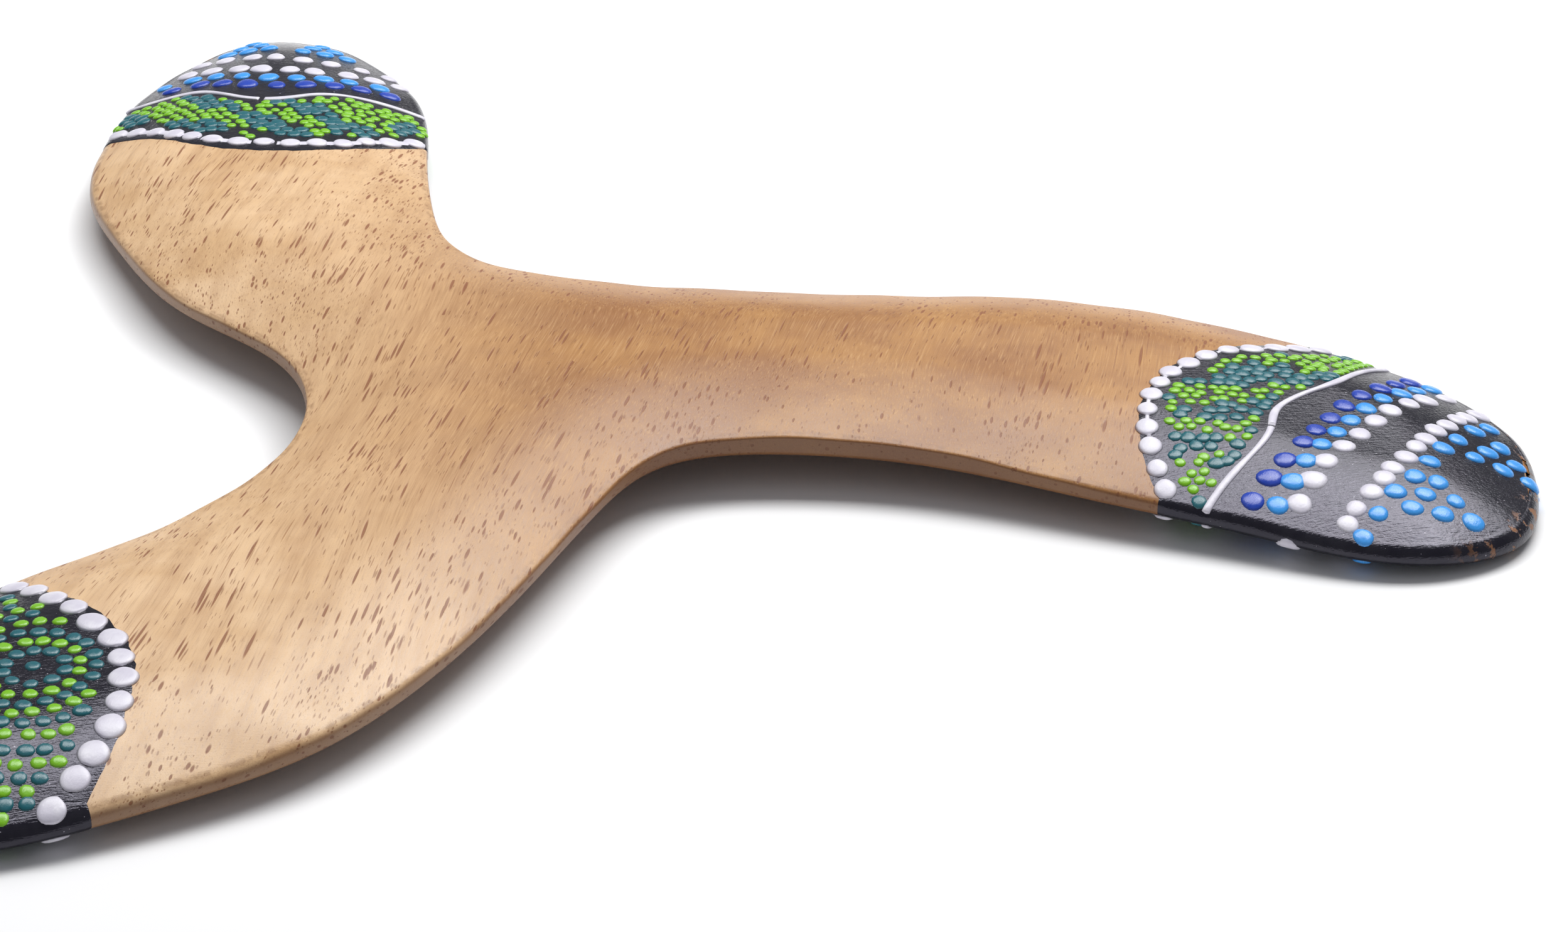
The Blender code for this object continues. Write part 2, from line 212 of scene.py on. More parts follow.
TOP_COLUMNS = np.linspace(0, 1, 73)
TOP_COLUMNS = 0.5 * TOP_COLUMNS + 0.25 * (1 - np.cos(np.pi * TOP_COLUMNS))
UNDER_COLUMNS = TOP_COLUMNS[::2]
WALL_ROWS = np.linspace(0, 1, 4)
CORNER_ROWS = np.linspace(0, 1, 7)
UNDER_CORNER = 1.2


def bezier(start, pull, end, t):
    """The quadratic curve from start to end that leaves and arrives along the lines to pull."""
    return start * (1 - t) ** 2 + pull * 2 * t * (1 - t) + end * t**2


def rim(edge, lift):
    """The rim's profile at points of the edge, as (point, row, xyz) from the underside to the top: a
    rounded lower corner, the upright wall, and an upper corner rounded by the edge's own value."""
    plan, wall, rounding, outward = edge[:, :2], edge[:, 2:3], edge[:, 3:4], edge[:, 4:6]
    corner_in = rounding + CORNER_LEAD
    inner_top = plan - outward * corner_in
    inner_under = plan - outward * UNDER_CORNER
    fall = drop(plan)[:, None]
    top = (top_height(inner_top, corner_in[:, 0], wall[:, 0]))[:, None]
    under = under_height(inner_under, np.full(len(plan), UNDER_CORNER))[:, None]
    low, high = UNDER_BEVEL + 0.5 - fall, wall - rounding - fall
    inset = np.hstack([
        bezier(np.full_like(wall, UNDER_CORNER), 0 * wall, 0 * wall, CORNER_ROWS[::2]),
        0 * wall * WALL_ROWS[1:-1],
        bezier(0 * wall, 0 * wall, corner_in, CORNER_ROWS),
    ])  # fmt: skip
    height = np.hstack([
        bezier(under, UNDER_BEVEL - fall, low, CORNER_ROWS[::2]),
        low + (high - low) * WALL_ROWS[1:-1],
        bezier(high, wall - fall, top, CORNER_ROWS),
    ])  # fmt: skip
    lean = np.linspace(-1, 1, inset.shape[1])[None] * lift[:, None]
    points = plan[:, None] + outward[:, None] * (lift[:, None, None] - inset[..., None])
    return np.concatenate([points, (height + lean)[..., None]], axis=-1)


def across(right, left, columns, bow):
    """Plan points across each section, from right to left in the steps of columns, bowed by the bow, a path
    of offsets for the first section that fades out with the chords' nearness to the last. Known fault: a
    chord whose middle is further off than the last one's gives a negative base, so its points near the tip
    aren't numbers."""
    v = columns[None, :, None]
    gone = np.linalg.norm((right + left) / 2 - (right[0] + left[0]) / 2, axis=1)
    fade = (1 - gone / gone[-1])[:, None, None] ** BOW_POWER
    return right[:, None] + (left - right)[:, None] * v + bow(columns)[None] * fade


def carved_shell(right, left, bow, lift):
    """Closed cross sections of a blade, as (section, column, xyz): up the right rim, over the top, down the
    left rim and back along the underside. right and left are indices into EDGE, bow is a function of the
    fraction of the way across, and lift moves the surface outwards. Beside them stands each point's
    distance from the ridge."""
    right, left = edge_at(right), edge_at(left)
    right_rim, left_rim = rim(right, lift), rim(left, lift)
    top = across(right_rim[:, -1, :2], left_rim[:, -1, :2], TOP_COLUMNS[1:-1], bow)
    under = across(right_rim[:, 0, :2], left_rim[:, 0, :2], UNDER_COLUMNS[1:-1], bow)
    inside, index = survey(top.reshape(-1, 2))
    top_z = top_height(top.reshape(-1, 2), inside, edge_at(index)[:, 2])
    top_z = top_z.reshape(top.shape[:2]) + lift[:, None]
    ridge = inside.reshape(top.shape[:2])
    inside, _ = survey(under.reshape(-1, 2))
    under_z = under_height(under.reshape(-1, 2), inside).reshape(under.shape[:2]) - lift[:, None]
    sheets = [np.concatenate([plan, z[..., None]], axis=-1) for plan, z in ((top, top_z), (under, under_z))]
    wall = np.linspace(-3, 1.2, right_rim.shape[1])[None] + 0 * lift[:, None]
    below = np.full(under.shape[:2], -3.0)
    marks = np.concatenate([wall, ridge, wall[:, ::-1], below], axis=1)
    return np.concatenate([right_rim, sheets[0], left_rim[:, ::-1], sheets[1][:, ::-1]], axis=1), marks


def ring_faces(rows, columns):
    """Faces between the rows of a grid whose columns close on themselves."""
    start = np.arange(rows - 1)[:, None] * columns
    here, following = np.arange(columns), (np.arange(columns) + 1) % columns
    corners = [start + here, start + following, start + columns + following, start + columns + here]
    return np.stack(corners, axis=-1).reshape(-1, 4)


WELD_DISTANCE = 0.002
COLLAPSED_EDGE = 0.001


def new_mesh(name, points, faces, marks=None):
    """A smooth object from points in mm and faces of equal length. marks are values kept at the points.
    Doubled points are merged, faces that collapse are dropped, and the rest are turned outwards."""
    mesh = bpy.data.meshes.new(name)
    sides = faces.shape[1]
    mesh.vertices.add(len(points))
    mesh.vertices.foreach_set("co", (points * MM).astype(np.float32).ravel())
    mesh.loops.add(faces.size)
    mesh.loops.foreach_set("vertex_index", faces.astype(np.int32).ravel())
    mesh.polygons.add(len(faces))
    mesh.polygons.foreach_set("loop_start", (np.arange(len(faces)) * sides).astype(np.int32))
    mesh.update(calc_edges=True)
    for mark, values in (marks or {}).items():
        layer = mesh.attributes.new(mark, "FLOAT", "POINT")
        layer.data.foreach_set("value", values.astype(np.float32).ravel())
    shape = bmesh.new()
    shape.from_mesh(mesh)
    bmesh.ops.remove_doubles(shape, verts=shape.verts, dist=WELD_DISTANCE * MM)
    bmesh.ops.dissolve_degenerate(shape, edges=shape.edges, dist=COLLAPSED_EDGE * MM)
    bmesh.ops.recalc_face_normals(shape, faces=shape.faces)
    if shape.calc_volume(signed=True) < 0:
        bmesh.ops.reverse_faces(shape, faces=shape.faces)
    shape.to_mesh(mesh)
    shape.free()
    mesh.shade_smooth()
    piece = bpy.data.objects.new(name, mesh)
    bpy.context.scene.collection.objects.link(piece)
    return piece


def finish_piece(piece, material, slot, *nodes):
    """Gives a piece its material and lets it stand for its CAD nodes. The slot is not used."""
    piece.data.materials.append(material)
    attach(piece, "root")
    if nodes:
        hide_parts(*nodes)


def edge_index(point, turn=0):
    """The index of the edge's point nearest to a plan point of the blade turned by this much."""
    return survey(turned([point], turn))[1][0]


def between(first, last, fractions):
    """Indices these fractions of the way from first to last, the shorter way round the edge."""
    span = (last - first + len(EDGE) / 2) % len(EDGE) - len(EDGE) / 2
    return first + span * fractions


SECTIONS = 150
SPLIT_FRACTIONS = 1 - (1 - np.linspace(0, 1, SECTIONS + 1)) ** 1.25


def carve_board():
    """Three shells, one a blade, whose first sections run from split to split by way of the hub's
    centre."""
    points, faces, marks = [], [], []
    split = SPLIT_RADIUS * np.cos(np.radians(SPLIT_BEARING)), SPLIT_RADIUS * np.sin(np.radians(SPLIT_BEARING))
    splits = [edge_index(split, turn) for turn in BLADE_TURNS.values()]
    for number, turn in enumerate(BLADE_TURNS.values()):
        tip = edge_index(TIP_POINT, turn)
        right, left = splits[(number + 1) % 3], splits[number]
        ends = rim(edge_at(np.array([right, left])), np.zeros(2))
        middle = {}
        for row, columns in ((-1, TOP_COLUMNS), (0, UNDER_COLUMNS)):
            middle[len(columns) - 2] = ends[:, row, :2].mean(axis=0)
        shell, ridge = carved_shell(
            between(right, tip, SPLIT_FRACTIONS),
            between(left, tip, SPLIT_FRACTIONS),
            lambda v: -middle[len(v)] * (1 - np.abs(2 * v - 1))[:, None],
            np.zeros(SECTIONS + 1),
        )
        rows, columns = shell.shape[:2]
        faces.append(ring_faces(rows, columns) + number * rows * columns)
        points.append(shell.reshape(-1, 3))
        marks.append(ridge.ravel())
    return new_mesh("board", np.vstack(points), np.vstack(faces), {"from_ridge": np.concatenate(marks)})


def srgb(*levels):
    """A linear colour from 0 to 255 screen levels, by the usual power of 2.2."""
    return (*((np.array(levels) / 255) ** 2.2), 1.0)


def add(tree, kind, inputs=None, **settings):
    """A shader node with its settings, and its inputs given as constants or as the sockets that feed
    them."""
    node = tree.nodes.new("ShaderNode" + kind)
    for name, value in settings.items():
        setattr(node, name, value)
    for socket, value in (inputs or {}).items():
        if isinstance(value, bpy.types.NodeSocket):
            tree.links.new(value, node.inputs[socket])
        else:
            node.inputs[socket].default_value = value
    return node


def math(tree, operation, *values, clamp=False):
    """A Math node's result."""
    return add(tree, "Math", dict(enumerate(values)), operation=operation, use_clamp=clamp).outputs[0]


def ramp(tree, value, low, high, start=0.0, end=1.0):
    """A value carried smoothly from start to end as it goes from low to high."""
    inputs = {"Value": value, "From Min": low, "From Max": high, "To Min": start, "To Max": end}
    return add(tree, "MapRange", inputs, interpolation_type="SMOOTHSTEP").outputs["Result"]


def blend(tree, factor, first, second):
    """First colour where factor is 0, second where it is 1."""
    return add(tree, "Mix", {"Factor": factor, 6: first, 7: second}, data_type="RGBA").outputs[2]


def noise(tree, place, scale, detail=2.0, roughness=0.5):
    """A noise value about 0.5, its scale in waves per unit of place."""
    inputs = {"Vector": place, "Scale": scale, "Detail": detail, "Roughness": roughness}
    return add(tree, "TexNoise", inputs).outputs["Fac"]


def stretched(tree, place, across, along, depth):
    """Places divided by these lengths, so that a pattern of unit size takes those sizes in mm."""
    return add(tree, "Mapping", {"Vector": place, "Scale": (1 / across, 1 / along, 1 / depth)}).outputs[0]


def millimetres(tree, turn=0.0):
    """Object coordinates in mm, turned about Z by this many degrees."""
    place = add(tree, "TexCoord").outputs["Object"]
    inputs = {"Vector": place, "Scale": (1000, 1000, 1000), "Rotation": (0, 0, np.radians(turn))}
    return add(tree, "Mapping", inputs).outputs[0]


def new_material(name, roughness):
    """A material and its node tree and Principled shader."""
    material = bpy.data.materials.new(name)
    material.use_nodes = True
    shader = material.node_tree.nodes["Principled BSDF"]
    shader.inputs["Roughness"].default_value = roughness
    return material, material.node_tree, shader


def new_group(name, inputs, outputs):
    """An empty node group with named inputs and outputs, and its two end nodes."""
    tree = bpy.data.node_groups.new(name, "ShaderNodeTree")
    for direction, sockets in (("INPUT", inputs), ("OUTPUT", outputs)):
        for socket, kind in sockets.items():
            tree.interface.new_socket(name=socket, in_out=direction, socket_type="NodeSocket" + kind)
    return tree, tree.nodes.new("NodeGroupInput").outputs, tree.nodes.new("NodeGroupOutput")


def place_group(tree, group, **inputs):
    """A group node's outputs, with its inputs set."""
    node = add(tree, "Group", node_tree=group)
    for socket, value in inputs.items():
        if isinstance(value, bpy.types.NodeSocket):
            tree.links.new(value, node.inputs[socket])
        else:
            node.inputs[socket].default_value = value
    return node.outputs


def bump(tree, shader, height, distance):
    """Height in units of distance, in mm, into the shader's normal."""
    inputs = {"Height": height, "Distance": distance * MM, "Strength": 1.0}
    tree.links.new(add(tree, "Bump", inputs).outputs[0], shader.inputs["Normal"])


GRAIN_TURN = 10.5
PALE_FROM = (120, 0, 0)


def pore_group():
    """Open vessels: long cells scattered through the wood, each with a vessel of its own size at its heart.
    A place is in a vessel where its distance from the heart, in cells, is under that size."""
    inputs = {"Place": "Vector", "Across": "Float", "Along": "Float", "Size": "Float", "Share": "Float"}
    tree, given, out = new_group("open_pores", inputs, {"Depth": "Float"})
    scale = add(tree, "CombineXYZ", {0: given["Across"], 1: given["Along"], 2: given["Across"]}).outputs[0]
    place = add(tree, "VectorMath", {0: given["Place"], 1: scale}, operation="DIVIDE").outputs[0]
    cells = add(tree, "TexVoronoi", {"Vector": place, "Scale": 1.0})
    chance = add(tree, "SeparateColor", {0: cells.outputs["Color"]})
    kept = math(tree, "LESS_THAN", chance.outputs[0], given["Share"])
    size = math(tree, "MULTIPLY", given["Size"], math(tree, "ADD", 0.45, chance.outputs[1]))
    reach = math(tree, "DIVIDE", cells.outputs["Distance"], size)
    depth = math(tree, "MULTIPLY", ramp(tree, reach, 0.55, 1.0, 1.0, 0.0), kept)
    tree.links.new(depth, out.inputs["Depth"])
    return tree


def wood_material():
    """Honey-coloured wood under a thin wiped varnish: pores that show as brown dashes along the grain and
    as dots on its ends, fine pale and dark fibres, soft clouds, sanding marks, a tone that turns paler away
    from a point on the right blade, painted shade that makes the knife-cut walls and the underside browner
    and darker than the top, and a thin broken darker line along the top of the ridge."""
    material, tree, shader = new_material("varnished_wood", 0.36)
    straight = millimetres(tree, GRAIN_TURN)
    slow_places = stretched(tree, straight, 28, 70, 28)
    sway = add(tree, "TexNoise", {"Vector": slow_places, "Scale": 1.0, "Detail": 1.0}).outputs["Color"]
    shift = add(tree, "VectorMath", {0: sway, 1: (0.5, 0.5, 0.5)}, operation="SUBTRACT").outputs[0]
    shift = add(tree, "VectorMath", {0: shift, 1: (9, 0, 9)}, operation="MULTIPLY").outputs[0]
    grain = add(tree, "VectorMath", {0: straight, 1: shift}, operation="ADD").outputs[0]
    clusters = noise(tree, stretched(tree, straight, 9, 26, 9), 1.0, 1.0)
    pores = pore_group()
    share = ramp(tree, clusters, 0.33, 0.68, 0.2, 0.9)
    large = place_group(tree, pores, Place=grain, Across=0.75, Along=11.0, Size=0.3, Share=share)["Depth"]
    streaks = place_group(tree, pores, Place=grain, Across=0.5, Along=30.0, Size=0.22, Share=0.6)["Depth"]
    small = place_group(tree, pores, Place=grain, Across=0.42, Along=4.0, Size=0.28, Share=share)["Depth"]
    fibres = noise(tree, stretched(tree, grain, 0.22, 7, 0.22), 1.0, 2.0)
    bands = noise(tree, stretched(tree, grain, 2.2, 45, 2.2), 1.0, 2.0)
    clouds = noise(tree, stretched(tree, straight, 22, 16, 22), 1.0, 3.0, 0.6)
    sanding = noise(tree, stretched(tree, millimetres(tree, -6), 14, 0.13, 14), 1.0, 1.0)
    specks = noise(tree, straight, 5.0, 1.0)
    ridge = add(tree, "Attribute", attribute_name="from_ridge").outputs["Fac"]
    broken = noise(tree, straight, 0.6, 3.0)
    # The tone turns from honey to cream with distance from a point out on the right blade, so the hub and the
    # other two blades are paler.
    apart = add(tree, "VectorMath", {0: millimetres(tree), 1: PALE_FROM}, operation="DISTANCE")
    outward = apart.outputs["Value"]
    pale = ramp(tree, math(tree, "MULTIPLY_ADD", clouds, 30.0, outward), 120, 185)
    honey = blend(tree, ramp(tree, clouds, 0.32, 0.7), srgb(176, 125, 66), srgb(148, 96, 44))
    cream = blend(tree, ramp(tree, clouds, 0.32, 0.7), srgb(226, 190, 148), srgb(206, 166, 120))
    tone = blend(tree, pale, honey, cream)
    tone = blend(tree, ramp(tree, bands, 0.35, 0.75, 0.0, 0.28), tone, srgb(150, 100, 54))
    tone = blend(tree, ramp(tree, fibres, 0.5, 0.8, 0.0, 0.32), tone, srgb(222, 180, 124))
    tone = blend(tree, ramp(tree, fibres, 0.5, 0.2, 0.0, 0.28), tone, srgb(120, 79, 44))
    tone = blend(tree, math(tree, "MULTIPLY", streaks, 0.6), tone, srgb(138, 84, 34))
    tone = blend(tree, math(tree, "MULTIPLY", small, 0.6), tone, srgb(130, 78, 32))
    tone = blend(tree, math(tree, "MULTIPLY", large, 0.85), tone, srgb(128, 70, 28))
    # Painted shade: the walls and the underside, everything below the ridge, are painted browner and darker
    # than the top.
    wall = ramp(tree, ridge, 0.6, -0.3)
    tone = blend(tree, math(tree, "MULTIPLY", wall, 0.75), tone, srgb(110, 72, 46))
    # A thin, broken darker line along the top, just inside the ridge.
    line = math(tree, "MULTIPLY", ramp(tree, ridge, 1.5, 0.9), ramp(tree, ridge, 0.2, 0.8))
    line = math(tree, "MULTIPLY", line, ramp(tree, broken, 0.42, 0.6, 0.0, 0.4))
    tone = blend(tree, line, tone, srgb(120, 76, 40))
    tone = blend(tree, ramp(tree, specks, 0.66, 0.74, 0.0, 0.3), tone, srgb(120, 80, 44))
    tree.links.new(tone, shader.inputs["Base Color"])
    sheen = math(tree, "ADD", ramp(tree, fibres, 0.3, 0.7, 0.42, 0.54), math(tree, "MULTIPLY", large, 0.15))
    tree.links.new(sheen, shader.inputs["Roughness"])
    height = math(tree, "MULTIPLY", large, -0.5)
    height = math(tree, "MULTIPLY_ADD", small, -0.25, height)
    height = math(tree, "MULTIPLY_ADD", fibres, 0.22, height)
    height = math(tree, "MULTIPLY_ADD", sanding, 0.12, height)
    height = math(tree, "MULTIPLY_ADD", specks, 0.16, height)
    bump(tree, shader, height, 0.09)
    shader.inputs["Coat Weight"].default_value = 0.28
    shader.inputs["Coat Roughness"].default_value = 0.24
    return material


board = carve_board()
finish_piece(board, wood_material(), "wood", "carved_board")


# The black tips -------------------------------------------------------------------------------------------
# Each tip is brushed all round with black acrylic as far as a curved line, then varnished. The film is thin
# enough to show the brush's strokes, holds dust, and has rubbed through at the outermost edge.

COAT_EDGES = {
    "right": ((98.5, -38), (94, -31.2), (91.9, -23.8), (91.5, -15.4), (94, -3.9), (100.9, 6.2), (111.3, 14.3),
              (118.7, 19), (128, 24.5)),
    "front": ((84, -36), (87.7, -24.8), (90.7, -14.5), (92.6, -6.3), (96, 0.8), (100.8, 5.9), (107, 9.9),
              (115, 13.2), (122, 15.2), (134, 18)),
    "rear": ((91, -36), (87.6, -26), (85.5, -17.9), (85.4, -11.4), (86.8, -2.4), (91.3, 5.2), (98.2, 11.8),
             (107.3, 15.2), (117, 20), (128, 26)),
}  # fmt: skip
FILM = 0.1
FILM_SUNK = 0.12
FILM_EDGE_WIDTH = 0.7
BRUSH_WAVER = 0.12
COAT_SECTIONS = 64
COAT_CORNER = 1.3


def along_path(path):
    """Each point's distance along a path, from 0."""
    return np.concatenate([[0], np.cumsum(np.linalg.norm(np.diff(path, axis=0), axis=1))])


def inside_part(path, margin=0.0):
    """The stretch of a plan path that lies at least the margin inside the edge, ending just there."""
    inside = survey(path)[0] - margin
    kept = np.flatnonzero(inside > 0)
    first, last = kept[0], kept[-1]
    ends = []
    for outer, inner in ((first - 1, first), (last + 1, last)):
        t = inside[inner] / (inside[inner] - inside[outer])
        ends.append(path[inner] + (path[outer] - path[inner]) * t)
    return np.vstack([ends[0], path[first : last + 1], ends[1]])


def brush_coat(name, turn):
    """A film over one tip: sections of the board's own surface from the brushed line to the tip. The film
    rises out of the wood over its first fraction of a millimetre, and its line wavers with the brush."""
    path = inside_part(turned(smooth_curve(COAT_EDGES[name], 30), turn), COAT_CORNER)
    length = along_path(path)
    waver = np.sin(length / 1.1) + np.sin(length / 0.47 + 1) + np.sin(length / 2.9 + 2)
    path += left_normals(path) * (BRUSH_WAVER * waver * np.sin(np.pi * length / length[-1]))[:, None]
    ends = survey(path[[0, -1]])[1]
    length = along_path(path)
    length /= length[-1]

    def bow(v):
        at = np.column_stack([np.interp(v, length, path[:, axis]) for axis in (0, 1)])
        return at - path[0] - (path[-1] - path[0]) * v[:, None]

    reach = np.linalg.norm(path.mean(axis=0) - turned(TIP_POINT, turn))
    near = FILM_EDGE_WIDTH / reach * np.linspace(0, 1, 4)
    fractions = np.concatenate([near, near[-1] + (1 - near[-1]) * np.linspace(0, 1, COAT_SECTIONS)[1:]])
    lift = -FILM_SUNK + (FILM + FILM_SUNK) * np.clip(fractions / near[-1], 0, 1)
    tip = edge_index(TIP_POINT, turn)
    right, left = between(ends[0], tip, fractions), between(ends[1], tip, fractions)
    shell, ridge = carved_shell(right, left, bow, lift)
    heart = np.broadcast_to(shell[0].mean(axis=0), shell[:1].shape)
    shell, ridge = np.concatenate([heart, shell]), np.concatenate([ridge[:1], ridge])
    rows, columns = shell.shape[:2]
    return new_mesh(f"coat_{name}", shell.reshape(-1, 3), ring_faces(rows, columns), {"from_ridge": ridge})


def hand_paint_group():
    """Acrylic laid on by hand: its tone drifts a little, brush strokes or drying ripples give it a fine
    relief, and pale dust settles in specks. Outputs are the colour, the relief and the roughness."""
    inputs = {"Place": "Vector", "Tone": "Color", "Drift": "Float", "Dust": "Float", "Gloss": "Float"}
    outputs = {"Color": "Color", "Relief": "Float", "Roughness": "Float"}
    tree, given, out = new_group("hand_paint", inputs, outputs)
    place = given["Place"]
    slow = noise(tree, place, 0.35, 2.0)
    drift = math(tree, "MULTIPLY", ramp(tree, slow, 0.35, 0.7), given["Drift"])
    lighter = blend(tree, drift, given["Tone"], srgb(255, 255, 255))
    cells = add(tree, "TexVoronoi", {"Vector": place, "Scale": 1.3})
    chance = add(tree, "SeparateColor", {0: cells.outputs["Color"]})
    size = math(tree, "MULTIPLY", chance.outputs[1], 0.16)
    speck = math(tree, "LESS_THAN", cells.outputs["Distance"], size)
    speck = math(tree, "MULTIPLY", speck, math(tree, "LESS_THAN", chance.outputs[0], given["Dust"]))
    dusty = blend(tree, math(tree, "MULTIPLY", speck, 0.7), lighter, srgb(200, 196, 205))
    tree.links.new(dusty, out.inputs["Color"])
    strokes = noise(tree, stretched(tree, place, 0.25, 3.5, 0.25), 1.0, 2.0)
    ripples = noise(tree, place, 1.4, 3.0, 0.6)
    relief = math(tree, "MULTIPLY_ADD", ripples, 0.8, math(tree, "MULTIPLY", strokes, 0.6))
    tree.links.new(math(tree, "MULTIPLY_ADD", speck, 0.8, relief), out.inputs["Relief"])
    rough = ramp(tree, ripples, 0.3, 0.7, 0.0, 0.06)
    tree.links.new(math(tree, "ADD", rough, given["Gloss"]), out.inputs["Roughness"])
    return tree


hand_paint = hand_paint_group()


def black_material():
    """Near-black acrylic under varnish, dusty, and rubbed through to brown along the outermost edge of the
    tip."""
    material, tree, shader = new_material("black_acrylic", 0.28)
    place = millimetres(tree, 75)
    values = {"Tone": srgb(24, 23, 31), "Drift": 0.006, "Dust": 0.3, "Gloss": 0.13}
    paint = place_group(tree, hand_paint, Place=place, **values)
    ridge = add(tree, "Attribute", attribute_name="from_ridge").outputs["Fac"]
    reach = add(tree, "VectorMath", {0: place}, operation="LENGTH").outputs["Value"]
    scuffs = noise(tree, place, 0.5, 4.0, 0.65)
    worn = math(tree, "MULTIPLY", ramp(tree, scuffs, 0.55, 0.62), ramp(tree, reach, 141, 150))
    worn = math(tree, "MULTIPLY", worn, ramp(tree, ridge, 4.0, 1.0))
    rubbed = blend(tree, math(tree, "MULTIPLY", worn, 0.85), paint["Color"], srgb(150, 104, 66))
    tree.links.new(rubbed, shader.inputs["Base Color"])
    tree.links.new(math(tree, "MULTIPLY_ADD", worn, 0.3, paint["Roughness"]), shader.inputs["Roughness"])
    shader.inputs["Specular Tint"].default_value = (0.86, 0.83, 1.0, 1.0)
    bump(tree, shader, math(tree, "MULTIPLY_ADD", worn, -0.6, paint["Relief"]), 0.08)
    return material


black_acrylic = black_material()
for name, turn in BLADE_TURNS.items():
    finish_piece(brush_coat(name, turn), black_acrylic, "black_paint", f"black_coat_{name}")


# White borders --------------------------------------------------------------------------------------------
# A string of big white drops, dabbed side by side along each black line, on both faces. Where two drops
# touched before they dried, a narrow neck joins them.

BORDERS = {
    "right": ((97.5, -38), (95.4, -30.9), (94, -24.2), (93.5, -15.4), (94.7, -7.3), (99.1, 1), (104.5, 6.9),
              (112.5, 12), (120.5, 16.8), (130, 22)),
    "front": ((86, -37), (89.2, -25.7), (92.4, -15.4), (95.5, -6.4), (99.3, 0.9), (105.5, 6.4), (113, 10),
              (121, 11.9), (128.5, 12.6), (140, 14)),
    "rear": ((91, -37), (88.9, -26), (88.3, -18), (88.5, -8.9), (91.4, -2.2), (95.8, 4.5), (101.9, 10.1),
             (109.7, 13), (117.3, 16.4), (128, 22)),
}  # fmt: skip
BEAD_HEIGHT = 0.4
# Radius, spacing and width of the necks between drops; a neck of nothing keeps them apart.
BEADS = {"right": (1.85, 4.4, 0.32), "front": (2.2, 5.0, 0.0), "rear": (1.8, 4.2, 0.8)}
STRING_STEP = 0.17
BORDER_MARGIN = {1: 0.3, -1: 0.3}
FACES = {1: "top", -1: "under"}
ARCH = np.linspace(-1, 1, 11)
NORMAL_STEP = 0.05


def skin(plan, face):
    """Points of the painted tip over plan points, on its top (face 1) or its underside (face -1). Where a
    point lies beyond the face's rim, it goes down the rim's profile by as much as it reaches past it."""
    inside, index = survey(plan)
    edge = edge_at(index)
    if face > 0:
        height = top_height(plan, inside, edge[:, 2]) + FILM
        reach = edge[:, 3] + CORNER_LEAD - inside
    else:
        height = under_height(plan, inside) - FILM
        reach = UNDER_CORNER - inside
    points = np.column_stack([plan, height])
    over = np.flatnonzero(reach > 0)
    if len(over) == 0:
        return points
    profile = rim(edge[over], np.full(len(over), FILM))[:, ::-face]
    legs = np.linalg.norm(np.diff(profile, axis=1), axis=2)
    travelled = np.cumsum(legs, axis=1)
    step = np.minimum((travelled < reach[over, None]).sum(axis=1), legs.shape[1] - 1)
    rows = np.arange(len(over))
    start = travelled[rows, step] - legs[rows, step]
    t = np.clip((reach[over] - start) / legs[rows, step], 0, 1)[:, None]
    points[over] = profile[rows, step] * (1 - t) + profile[rows, step + 1] * t
    return points


def laid(plan, rise, face):
    """Points standing this far off the painted tip over an array of plan points, along its normals, which
    are the cross product of the surface's two slopes."""
    shape = plan.shape[:-1]
    plan = plan.reshape(-1, 2)
    here = skin(plan, face)
    east = skin(plan + [NORMAL_STEP, 0], face) - here
    north = skin(plan + [0, NORMAL_STEP], face) - here
    normal = np.cross(east, north) * face
    normal /= np.linalg.norm(normal, axis=1)[:, None] + 1e-9
    return (here + normal * rise.reshape(-1, 1)).reshape(*shape, 3)


def resampled(path, spacing):
    """A plan path in equal steps of about this length, with the distance along it."""
    length = along_path(path)
    even = np.linspace(0, length[-1], max(2, round(length[-1] / spacing) + 1))
    return np.column_stack([np.interp(even, length, path[:, axis]) for axis in (0, 1)]), even


def ribbon(name, path, half_width, height, face):
    """A closed ridge of paint along a plan path: across it the height falls off as an arch, the root of
    1 - v squared, and its base lies just under the film. Its ends close to points."""
    side = left_normals(path)
    half_width = half_width.copy()
    half_width[[0, -1]] = 0.0
    across_at = np.concatenate([ARCH, ARCH[-2:0:-1]])
    arch = np.where(np.arange(len(across_at)) < len(ARCH), (1 - across_at**2) ** 0.5, 0)
    plan = path[:, None] + side[:, None] * (half_width[:, None] * across_at)[..., None]
    rise = height[:, None] * arch - 0.06 * (np.arange(len(across_at)) >= len(ARCH)) - 0.03
    rise[[0, -1]] = -0.05
    points = laid(plan, rise, face)
    return points.reshape(-1, 3), ring_faces(*points.shape[:2])


def string_of_beads(name, turn, face):
    """Drops along a path inside the black line. A drop's half width is the circle's root of r squared minus
    s squared, never under the neck's; its height grows with that width."""
    radius, spacing, neck = BEADS[name]
    random = np.random.default_rng([len(name), face + 1])
    path = turned(smooth_curve(BORDERS[name], 30), turn)
    inside, _ = survey(path)
    path = path[inside > BORDER_MARGIN[face]]
    path, length = resampled(path, STRING_STEP)
    count = int(length[-1] / spacing)
    hearts = (np.arange(count) + 0.5) * length[-1] / count + random.normal(0, 0.14, count)
    radii = radius * (1 + random.normal(0, 0.05, count))
    gap = np.abs(length[:, None] - hearts)
    mine = gap.argmin(axis=1)
    swell = np.sqrt(np.maximum(radii[mine] ** 2 - gap.min(axis=1) ** 2, 0)) / radii[mine]
    necks = neck * (random.random(count) < 0.75)[mine]
    half_width = np.maximum(radii[mine] * swell * 0.97, np.maximum(necks, 0.12))
    on_bead = radii[mine] * swell > np.maximum(necks, 0.3)
    height = np.where(on_bead, 0.14 + BEAD_HEIGHT * swell**0.8, np.where(necks > 0, 0.14, -0.3))
    centre = path + left_normals(path) * (random.normal(0, 0.12, count)[mine] * swell)[:, None]
    return ribbon(name, centre, half_width, height, face)


